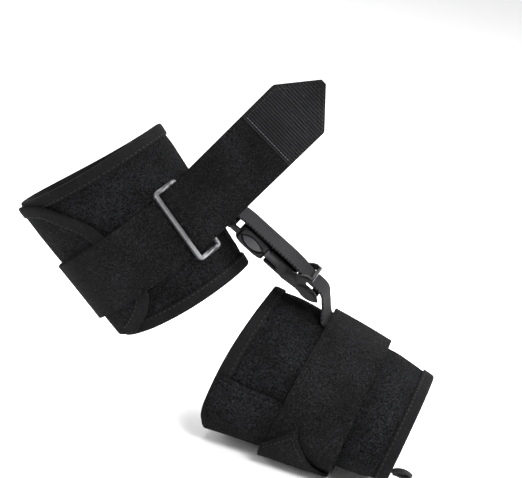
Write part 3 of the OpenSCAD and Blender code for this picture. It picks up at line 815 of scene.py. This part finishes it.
def build_ring():
    """The ring, flat outside and round where the straps turn, and the loop that holds it."""
    ring = welded_copy("welded_strap_ring", "strap_ring", 2e-6)
    make_active(ring)
    bpy.ops.object.shade_smooth_by_angle(angle=math.radians(40))
    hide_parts("strap_ring")
    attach(ring, "ring")
    dress(ring, "Satin Steel")
    turn = [on_ring(ANCHORED_BAR, a, RING_BAR / 2 + BAR_TO_LOOP) for a in steps(262, 500, 26)]
    left, right = (
        [leg_point(a, RING_SHARE + side * LOOP_HALF / LEG_LENGTH, LOOP_LIFT) for a in steps(-16, 16, 12)]
        + [p + LEG_AXIS * side * LOOP_HALF for p in turn]
        for side in (-1, 1)
    )
    loop = ribbon("ring_webbing_loop", left, right, LOOP_THICK)
    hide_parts("ring_anchor_webbing")
    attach(loop, "leg_cuff")
    dress(loop, "Ribbed Webbing")


def tab_edges(s, inset=0.0):
    """Lower and upper edge of the pointed strap end, at distance s from the ring's bar."""
    half = STRAP_WIDTH / 2 - inset
    low = np.interp(s, [0, TAIL + SHOULDER, TAIL + TAB - inset], [-half, -half, -0.6])
    high = np.interp(s, [0, TAIL + SHOULDER - 2, TAIL + TAB - inset], [half, half, 2.6])
    return float(low), float(high)


def pull_slack(s):
    return 0.5 * math.sin(math.pi * s / (TAIL + TAB)) + 0.25 * rumple(vec(s, 0, 0), 26, 8.0)


def build_pull_strap():
    reach = RING_BAR / 2 + BAR_TO_STRAP + STRAP_THICK / 2
    leave = math.degrees(math.atan2(-PULL_FACE @ RING_OUT, -PULL_FACE @ RING_BACK)) % 360
    half = STRAP_WIDTH / 2
    left, right = [], []
    for a in steps(274, leave, 8):
        p = on_ring(FREE_BAR, a, reach)
        left.append(p - LEG_AXIS * half)
        right.append(p + LEG_AXIS * half)
    point = TAIL + SHOULDER
    places = [6.0, 10.0, 15.0] + steps(20, point - 4, 24) + steps(point - 2, point + 2, 4)
    for s in places + steps(point + 4, TAIL + TAB, 10):
        low, high = tab_edges(s)
        turn = ease(s, 0, 20)
        side = unit(LEG_AXIS * (1 - turn) + PULL_SIDE * turn)
        p = FREE_BAR - PULL_FACE * reach + PULL * s + PULL_FACE * pull_slack(s)
        left.append(p + side * low)
        right.append(p + side * high)
    strap = ribbon("pull_strap_ribbed", left, right, STRAP_THICK)
    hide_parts("pull_strap", "pull_strap_tip")
    dress(strap, "Ribbed Elastic")
    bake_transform(strap)

    def face(s, side, lift):
        down = reach - STRAP_THICK / 2 - lift - pull_slack(s)
        return FREE_BAR - PULL_FACE * down + PULL * s + PULL_SIDE * side

    left, right = [], []
    places = [TAIL + 1.4, TAIL + 1.8] + steps(TAIL + 4, point - 4, 8) + steps(TAIL + 28, TAIL + 31, 3)
    for s in places + steps(TAIL + 33, TAIL + TAB - 0.8, 8):
        low, high = tab_edges(s, 0.7)
        left.append(face(s, low, 0.62))
        right.append(face(s, high, 0.62))
    hook = ribbon("hook_tape_end", left, right, 1.0)
    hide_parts("pull_strap_hook_tab")
    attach(hook, "hook_tab")
    dress(hook, "Hook Tape")
    low, high = -STRAP_WIDTH / 2 + 2.6, STRAP_WIDTH / 2 - 2.6
    corners = [
        (TAIL + 3.4, low), (point - 0.8, low), (TAIL + TAB - 4, 0.0), (TAIL + TAB - 4, 2.0), (point - 2.6, high),
        (TAIL + 3.4, high),
    ]
    path = []
    for (s0, a0), (s1, a1) in zip(corners, corners[1:] + corners[:1]):
        path += [face(s0 + (s1 - s0) * k / 6, a0 + (a1 - a0) * k / 6, 1.16) for k in range(6)]
    ups = [PULL_FACE] * len(path)
    stitch_row("hook_tape_stitches", path, ups, "hook_tab", pitch=2.9, length=2.0, closed=True)
    bar = [face(TAIL + 3.4, low + (high - low) * k / 12, 1.2) for k in range(13)]
    tack = stitch_row("hook_tape_tacks", bar, [PULL_FACE] * len(bar), "hook_tab", pitch=1.7, length=1.5)
    dress(tack, "Pale Stitching")


# ---- Buckle and its webbing

BUCKLE_AT, BUCKLE_SLOPE = vec(-53.3, 0, 108.7), math.radians(28)
SOCKET_BAR, BAR_TURN = -18.5, 3.4 / 2 + 0.15 + 0.7
WEBBING_WIDTH, WEBBING_THICK = 24.0, 1.4


def buckle_place(x, z):
    c, s = math.cos(BUCKLE_SLOPE), math.sin(BUCKLE_SLOPE)
    return BUCKLE_AT + vec(x * c + z * s, 0, z * c - x * s)


def webbing(name, route, crowns, width, thick):
    """Webbing along a route in the side plane; a crown lets its edges drop where it lies on a round surface."""
    last = len(route) - 1
    outer, inner = [], []
    for s in [-1.0, -0.96, -0.66, -0.33, 0.0, 0.33, 0.66, 0.96, 1.0]:
        high, low = [], []
        for i, p in enumerate(route):
            run = unit(route[min(last, i + 1)] - route[max(0, i - 1)])
            out = vec(-run[2], 0, run[0])
            drop = crowns[i] * (s - 0.27) ** 2
            middle = p + vec(0, s * width / 2, 0) - out * drop
            high.append(middle + out * thick / 2)
            low.append(middle - out * thick / 2)
        outer.append(high)
        inner.append(low)
    return cloth(name, outer, inner)


def build_buckle():
    pieces = {
        "buckle_socket_shell": ("buckle_socket", "socket", 0.45, "Black Plastic"),
        "buckle_plug_frame": ("buckle_plug", "plug", 0.35, "Black Plastic"),
        "squeeze_arm_near": ("squeeze_arm_right", "arm_right", 0.35, "Matt Pad"),
        "squeeze_arm_far": ("squeeze_arm_left", "arm_left", 0.35, "Matt Pad"),
    }
    for name, (node, body, width, finish) in pieces.items():
        dress(eased_copy(name, node, body, width), finish)


def build_webbing():
    in_plane = vec(1, 0, 1)
    centre = buckle_place(SOCKET_BAR, 0)
    route = [leg_point(0, t, 2.22) * in_plane for t in steps(0.68, 0.44, 8)]
    for turn in steps(math.radians(232), math.radians(420), 20):
        route.append(centre + BAR_TURN * vec(math.cos(turn), 0, math.sin(turn)))
    anchor = webbing("cuff_anchor_strap", route, [0.0] * len(route), WEBBING_WIDTH, WEBBING_THICK)
    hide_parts("cuff_anchor_webbing")
    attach(anchor, "leg_cuff")
    dress(anchor, "Ribbed Webbing")

    knots = [leg_point(0, 0.62, 7.6), leg_point(0, 0.5, 6.8), buckle_place(-20, 5.4)]
    knots += [buckle_place(s, 6.3) for s in range(-12, 21, 8)]
    lock = [
        (28.5, 5.9), (33.5, 5.1), (37.5, 4.62), (41, 4.6), (44.5, 4.7), (47.7, 4.4), (50.5, 3.1), (52.5, 0.9),
    ]
    knots += [buckle_place(*p) for p in lock]
    knots += [vec(-5.4, 0, 81.5), vec(-4.3, 0, 78.2), vec(-3, 0, 75.4)]
    knots += [wrap_point(x, 0, 1.35) * in_plane for x in steps(-15.4, 14, 5)]
    crowns = [0.0] * (len(knots) - 9) + [0.1, 0.6, 1.2] + [1.55] * 6
    per = 4
    line = smooth_route(knots, per)
    drops = list(np.interp(np.arange(len(line)) / per, np.arange(len(crowns)), crowns))
    strap = webbing("adjusting_strap", line, drops, WEBBING_WIDTH, WEBBING_THICK)
    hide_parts("adjusting_webbing")
    dress(strap, "Ribbed Webbing")
    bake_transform(strap)
    patch("instep_reinforcing_tape", "dorsal_stitch_patch", wrap_point, (-10, 16), (-19, 19), 2.2, 2.8,
          "Edge Tape", "foot_wrap")


# ---- Foot wrap

FOOT_FLAP = [(WRAP_REAR + 0.5, 80), (-39, 82), (-21, 82), (-7, 85), (7, 97), (15, 115)]
TAB_ROWS = [(-18.5, 112), (-11, 99), (-3.5, 89), (5, 104), (14, 124), (24, 146)]
BAND_MIDDLE, TAB_BASE = 4.4, 5.8
FOOT_FLAP_BACK, TAB_BACK, TAB_HOOK_BACK = 196, 166, 164


def foot_band_lift(angle):
    turned = abs(angle - 360 if angle > 180 else angle)
    return 0.2 + 2.8 * (1 - ease(turned, 20, 36)) + 2.45 * ease(angle, 56, 70) * (1 - ease(angle, 198, 212))


def foot_panel_lift(x, angle):
    p = wrap_point(x, angle, 0)
    edge = min(x - WRAP_REAR, WRAP_FRONT - x)
    away = abs(x - BAND_MIDDLE)
    free = ease(edge, 6.5, 13) * ease(away, 18, 27)
    under_flap = ease(angle, 72, 80) * (1 - ease(angle, 194, 202)) * (1 - ease(x, 8, 20))
    puff = 0.4 + 0.8 * rumple(p, 26, 1.5) + 0.4 * rumple(p, 10, 6.5)
    pucker = 0.3 * math.sin(math.radians(angle) * 19 + 2 * rumple(p, 30)) * (1 - ease(edge, 9, 22))
    return -0.35 + (puff + pucker + 0.3) * free * (1 - 0.8 * under_flap)


def foot_edge(x, inward):
    return lambda angle, w, h: wrap_point(x + inward * w, angle, h)


def build_foot_wrap():
    rear, front = WRAP_REAR + 0.4, WRAP_FRONT - 0.4
    panel = surface_cloth(
        "foot_wrap_padding", wrap_point, hugged(rear, front, 26, 0.6), ROUND, PANEL_INNER, foot_panel_lift,
        closed=True,
    )
    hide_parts("foot_wrap_panel")
    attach(panel, "foot_wrap")
    dress(panel, "Brushed Fleece")

    def sag(x, a):
        inside = ease(min(x - WRAP_REAR, WRAP_FRONT - x), 7, 14)
        return LINING_INNER + 0.3 * rumple(wrap_point(x, a, 0), 16, 2.5) * inside

    lining = surface_cloth(
        "foot_wrap_soft_lining", wrap_point, hugged(rear, front, 16, 0.6), ROUND, sag, LINING_FACE, closed=True
    )
    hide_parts("foot_wrap_lining")
    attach(lining, "foot_wrap")
    dress(lining, "Knitted Lining")
    edge_tape("foot_rear_edge_tape", "foot_rear_binding", "foot_wrap", foot_edge(WRAP_REAR, 1))
    edge_tape("foot_front_edge_tape", "foot_front_binding", "foot_wrap", foot_edge(WRAP_FRONT, -1))
    patch("foot_hook_fastening", "foot_hook_patch", wrap_point, (-42, 8), (138, 174), 0.35, 0.9,
          "Hook Tape", "foot_wrap")
    loop = eased_copy("toe_edge_tape_loop", "toe_edge_loop", "foot_wrap", 0.2)
    dress(loop, "Stitching Thread")


def build_foot_flap():
    rows = hugged(FOOT_FLAP[0][0], FOOT_FLAP[-1][0], 22, 0.5)
    columns = hugged(0.0, 1.0, 34, 0.008)

    def place(x, v, h):
        edge = edge_between(FOOT_FLAP, x)
        return wrap_point(x, edge + (FOOT_FLAP_BACK - edge) * v, h)

    def top(x, v):
        free = ease(abs(x - BAND_MIDDLE), 18, 26)
        return 2.4 + (0.1 + 0.3 * rumple(place(x, v, 0), 16, 3.5)) * free - ease(v, 0.85, 1.0)

    def low(x, v):
        return 1.25 - ease(v, 0.85, 1.0)

    flap = surface_cloth("foot_flap_padding", place, rows, columns, low, top)
    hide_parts("foot_closure_flap")
    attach(flap, "foot_wrap")
    dress(flap, "Brushed Fleece")
    stitches_on("foot_flap_stitches", steps(WRAP_REAR + 1, -17, 24),
                lambda x, h: wrap_point(x, edge_between(FOOT_FLAP, x) + 3.4, h), 2.62, "foot_wrap")


def build_foot_band():
    offsets = hugged(-STRAP_WIDTH / 2, STRAP_WIDTH / 2, 12, 0.45)

    def place(offset, angle, h):
        a = math.radians(angle)
        widen = 1 + 0.08 * ease(math.cos(a), 1, -1)
        return wrap_point(BAND_MIDDLE + offset * widen + 0.5 * rumple(vec(math.sin(a), 0, 0), 0.7), angle, h)

    def lift(offset, angle):
        p = wrap_point(BAND_MIDDLE, angle, 0)
        return foot_band_lift(angle) + 0.14 * rumple(p, 14, 6.0) * ease(angle, 30, 50)

    band = surface_cloth(
        "foot_ribbed_band", place, offsets, ROUND, lift, lambda o, a: lift(o, a) + STRAP_THICK, closed=True
    )
    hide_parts("foot_elastic_band")
    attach(band, "foot_wrap")
    dress(band, "Ribbed Elastic")


def build_foot_tab():
    xs = [-18.5, -18.1] + steps(-17, -5, 8) + [-4, -3.5, -3] + steps(-2, 22, 14) + [23.6, 24.0]

    def from_edge(x, inset, share, back, h):
        first = edge_between(TAB_ROWS, x) + inset
        return wrap_point(x, first + (back - first) * share, h)

    def place(x, v, h):
        return from_edge(x, 0, v, TAB_BACK, h)

    def lift(x, v):
        return TAB_BASE + 0.25 * (1 - v) * (0.6 + rumple(place(x, v, 0), 12, 1.0))

    tab = surface_cloth(
        "foot_strap_point", place, xs, hugged(0.0, 1.0, 20, 0.01), lift, lambda x, v: lift(x, v) + 1.5
    )
    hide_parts("foot_strap_tab")
    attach(tab, "foot_tab")
    dress(tab, "Ribbed Elastic")
    hook = surface_cloth(
        "foot_strap_hooks", lambda x, v, h: from_edge(x, 4, v, TAB_HOOK_BACK, h), hugged(-11, 14, 10, 0.4),
        hugged(0.0, 1.0, 14, 0.01), TAB_BASE - 0.5, TAB_BASE - 0.1,
    )
    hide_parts("foot_strap_hook_patch")
    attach(hook, "foot_tab")
    dress(hook, "Hook Tape")
    stitches_on(
        "foot_strap_stitches", steps(TAB_ROWS[0][0] + 1.5, TAB_ROWS[-1][0] - 2.5, 40),
        lambda x, h: from_edge(x, 5, 0, TAB_BACK, lift(x, 0.05) + h), 1.58, "foot_tab", pitch=2.6, length=1.8,
    )


# ---- Stage

LAMPS = {
    "key_light": ((0.5, -0.85, 0.95), 0.45, 17.0),
    "top_light": ((0.1, 0.25, 1.25), 0.9, 17.0),
    "rim_light": ((0.95, 0.1, 0.8), 0.5, 20.0),
    "left_light": ((-1.0, -0.6, 0.5), 0.7, 7.0),
}
LIT_POINT = Vector((-0.06, 0.0, 0.105))
CAMERA_TURN, CAMERA_LIFT, CAMERA_ROLL = (math.radians(d) for d in (12.0, 14.0, 12.5487))
VIEW_WIDTH, SENSOR_WIDTH = 0.3132, 36.0
SWEEP_RADIUS, SWEEP_STEPS = 1.6, 12


def bend_sweep(sweep):
    """Turns a flat plane's far edge up into a wall, in edit mode."""
    work = bmesh.from_edit_mesh(sweep.data)
    bpy.ops.mesh.select_mode(type="EDGE")
    far = max(v.co.y for v in work.verts)
    for edge in work.edges:
        edge.select_set(all(abs(v.co.y - far) < 1e-5 for v in edge.verts))
    work.select_flush(True)
    bmesh.update_edit_mesh(sweep.data)
    for i in range(SWEEP_STEPS):
        a, b = math.pi / 2 * i / SWEEP_STEPS, math.pi / 2 * (i + 1) / SWEEP_STEPS
        move = (0, SWEEP_RADIUS * (math.sin(b) - math.sin(a)), SWEEP_RADIUS * (math.cos(a) - math.cos(b)))
        bpy.ops.mesh.extrude_region_move(TRANSFORM_OT_translate={"value": move})
    bpy.ops.mesh.extrude_region_move(TRANSFORM_OT_translate={"value": (0, 0, 4)})


def build_sweep():
    deselect_all()
    bpy.ops.mesh.primitive_plane_add(size=1, location=(0, 0, CAD_BOX[0].z - 0.0015))
    sweep = bpy.context.object
    sweep.name = "studio_sweep"
    bpy.ops.object.mode_set(mode="EDIT")
    bpy.ops.mesh.select_all(action="SELECT")
    bpy.ops.transform.resize(value=(14, 9, 1))
    bpy.ops.transform.translate(value=(0, -1.5, 0))
    bpy.ops.mesh.select_all(action="DESELECT")
    bend_sweep(sweep)
    bpy.ops.object.mode_set(mode="OBJECT")
    bpy.ops.object.transform_apply(location=True, rotation=True, scale=True)
    bpy.ops.object.shade_smooth()
    finish, w, shader, place = new_finish("Pale Sweep")
    pale = w.blend(w.grain(place, 1.5, 3.0), (0.93, 0.93, 0.93, 1), (0.96, 0.96, 0.96, 1))
    w.feed(shader.inputs["Base Color"], pale)
    w.feed(shader.inputs["Roughness"], 0.85)
    sweep.data.materials.append(finish)


def build_lights(sizes):
    world = bpy.data.worlds.new("Soft Studio")
    world.use_nodes = True
    sky = world.node_tree.nodes["Background"]
    sky.inputs["Color"].default_value = (1.0, 1.0, 1.0, 1.0)
    sky.inputs["Strength"].default_value = sizes.fill_light
    bpy.context.scene.world = world
    for name, (place, size, power) in LAMPS.items():
        lamp = bpy.data.lights.new(name, "AREA")
        lamp.shape, lamp.size = "DISK", size
        lamp.energy = power * sizes.light_power
        holder = bpy.data.objects.new(name, lamp)
        bpy.context.collection.objects.link(holder)
        holder.location = place
        holder.rotation_euler = (LIT_POINT - Vector(place)).to_track_quat("-Z", "Y").to_euler()


def rolled(v):
    """A direction turned about Y by the camera's roll."""
    c, s = math.cos(CAMERA_ROLL), math.sin(CAMERA_ROLL)
    return vec(c * v[0] - s * v[2], v[1], s * v[0] + c * v[2])


def build_camera(sizes):
    side, ahead = math.sin(CAMERA_TURN), math.cos(CAMERA_TURN)
    right = vec(ahead, side, 0)
    back = vec(side * math.cos(CAMERA_LIFT), -ahead * math.cos(CAMERA_LIFT), math.sin(CAMERA_LIFT))
    up = np.cross(back, right)
    right, back, up = rolled(right), rolled(back), rolled(up)
    target = (vec(-3, 0, -14) - right * 20.4 + up * 127.8) * MM
    spot = target + back * VIEW_WIDTH * sizes.lens / SENSOR_WIDTH
    lens = bpy.data.cameras.new("studio_camera")
    lens.sensor_width, lens.lens = SENSOR_WIDTH, sizes.lens
    lens.clip_start, lens.clip_end = 0.05, 30.0
    camera = bpy.data.objects.new("studio_camera", lens)
    bpy.context.collection.objects.link(camera)
    camera.matrix_world = Matrix([[right[i], up[i], back[i], spot[i]] for i in range(3)] + [[0, 0, 0, 1]])
    bpy.context.scene.camera = camera
    bpy.context.scene.view_settings.view_transform = "Standard"


def build_stage():
    """Pale sweep of floor and backdrop, soft lights and the camera."""
    sizes = bpy.context.scene.brace_stage
    build_sweep()
    build_lights(sizes)
    build_camera(sizes)


# ---- Add-on

class BraceColours(bpy.types.PropertyGroup):
    fabric: FloatVectorProperty(
        name="Fabric", description="Colour of the padded fabric", subtype="COLOR", size=3, min=0, max=1,
        default=(0.017, 0.0175, 0.019),
    )
    strap: FloatVectorProperty(
        name="Straps", description="Colour of the straps and tapes", subtype="COLOR", size=3, min=0, max=1,
        default=(0.013, 0.013, 0.014),
    )
    plastic: FloatVectorProperty(
        name="Buckle", description="Colour of the buckle's plastic", subtype="COLOR", size=3, min=0, max=1,
        default=(0.004, 0.004, 0.0044),
    )
    ring: FloatVectorProperty(
        name="Ring", description="Colour of the ring's metal", subtype="COLOR", size=3, min=0, max=1,
        default=(0.085, 0.085, 0.088),
    )


class BraceStage(bpy.types.PropertyGroup):
    lens: FloatProperty(
        name="Lens", description="Focal length of the camera", default=135.0, min=50.0, max=300.0, unit="CAMERA"
    )
    fill_light: FloatProperty(
        name="Fill", description="Strength of the even light all round", default=0.7, min=0.0, subtype="FACTOR"
    )
    light_power: FloatProperty(
        name="Lights", description="Power of the lamps, as a share", default=1.0, min=0.0, subtype="FACTOR"
    )


class BRACE_OT_finishes(bpy.types.Operator):
    """Makes the fabrics, plastic and metal"""
    bl_idname = "brace.finishes"
    bl_label = "Make Finishes"

    def execute(self, context):
        make_finishes()
        return {"FINISHED"}


class BRACE_OT_stage(bpy.types.Operator):
    """Adds the floor, the lights and the camera"""
    bl_idname = "brace.stage"
    bl_label = "Set Stage"

    def execute(self, context):
        build_stage()
        return {"FINISHED"}


class BRACE_OT_leg_cuff(bpy.types.Operator):
    """Adds the padded leg cuff, its lining and edge tapes"""
    bl_idname = "brace.leg_cuff"
    bl_label = "Leg Cuff"

    def execute(self, context):
        build_leg_cuff()
        return {"FINISHED"}


class BRACE_OT_leg_flap(bpy.types.Operator):
    """Adds the cuff's closure flap and its edge tape"""
    bl_idname = "brace.leg_flap"
    bl_label = "Leg Flap"

    def execute(self, context):
        build_leg_flap()
        return {"FINISHED"}


class BRACE_OT_leg_band(bpy.types.Operator):
    """Adds the elastic band round the cuff"""
    bl_idname = "brace.leg_band"
    bl_label = "Leg Band"

    def execute(self, context):
        build_leg_band()
        return {"FINISHED"}


class BRACE_OT_ring(bpy.types.Operator):
    """Adds the metal ring and the loop that holds it"""
    bl_idname = "brace.ring"
    bl_label = "Strap Ring"

    def execute(self, context):
        build_ring()
        return {"FINISHED"}


class BRACE_OT_pull_strap(bpy.types.Operator):
    """Adds the pull strap and its hook tape end"""
    bl_idname = "brace.pull_strap"
    bl_label = "Pull Strap"

    def execute(self, context):
        build_pull_strap()
        return {"FINISHED"}


class BRACE_OT_buckle(bpy.types.Operator):
    """Adds the socket, the plug and its squeeze arms"""
    bl_idname = "brace.buckle"
    bl_label = "Buckle"

    def execute(self, context):
        build_buckle()
        return {"FINISHED"}


class BRACE_OT_webbing(bpy.types.Operator):
    """Adds the webbing on both sides of the buckle"""
    bl_idname = "brace.webbing"
    bl_label = "Webbing"

    def execute(self, context):
        build_webbing()
        return {"FINISHED"}


class BRACE_OT_foot_wrap(bpy.types.Operator):
    """Adds the padded foot wrap, its lining and edge tapes"""
    bl_idname = "brace.foot_wrap"
    bl_label = "Foot Wrap"

    def execute(self, context):
        build_foot_wrap()
        return {"FINISHED"}


class BRACE_OT_foot_flap(bpy.types.Operator):
    """Adds the overlap on the outer side of the wrap"""
    bl_idname = "brace.foot_flap"
    bl_label = "Foot Flap"

    def execute(self, context):
        build_foot_flap()
        return {"FINISHED"}


class BRACE_OT_foot_band(bpy.types.Operator):
    """Adds the elastic band round the foot"""
    bl_idname = "brace.foot_band"
    bl_label = "Foot Band"

    def execute(self, context):
        build_foot_band()
        return {"FINISHED"}


class BRACE_OT_foot_tab(bpy.types.Operator):
    """Adds the pointed end of the foot strap"""
    bl_idname = "brace.foot_tab"
    bl_label = "Foot Strap Point"

    def execute(self, context):
        build_foot_tab()
        return {"FINISHED"}


OPERATORS = [
    BRACE_OT_finishes, BRACE_OT_stage, BRACE_OT_leg_cuff, BRACE_OT_leg_flap,
    BRACE_OT_leg_band, BRACE_OT_ring, BRACE_OT_pull_strap, BRACE_OT_buckle,
    BRACE_OT_webbing, BRACE_OT_foot_wrap, BRACE_OT_foot_flap, BRACE_OT_foot_band,
    BRACE_OT_foot_tab,
]


class BRACE_PT_tools(bpy.types.Panel):
    bl_label = "Ankle Foot Orthosis"
    bl_space_type = "VIEW_3D"
    bl_region_type = "UI"
    bl_category = "Brace"

    def draw(self, context):
        column = self.layout.column(align=True)
        for cls in OPERATORS:
            column.operator(cls.bl_idname)
        for group in (context.scene.brace_colours, context.scene.brace_stage):
            for name in type(group).__annotations__:
                self.layout.prop(group, name)


CLASSES = [BraceColours, BraceStage, *OPERATORS, BRACE_PT_tools]


def register():
    for cls in CLASSES:
        bpy.utils.register_class(cls)
    bpy.types.Scene.brace_colours = PointerProperty(type=BraceColours)
    bpy.types.Scene.brace_stage = PointerProperty(type=BraceStage)


def unregister():
    del bpy.types.Scene.brace_stage
    del bpy.types.Scene.brace_colours
    for cls in reversed(CLASSES):
        bpy.utils.unregister_class(cls)


def main():
    register()
    for cls in OPERATORS:
        group, name = cls.bl_idname.split(".")
        getattr(getattr(bpy.ops, group), name)()


if __name__ == "__main__":
    main()
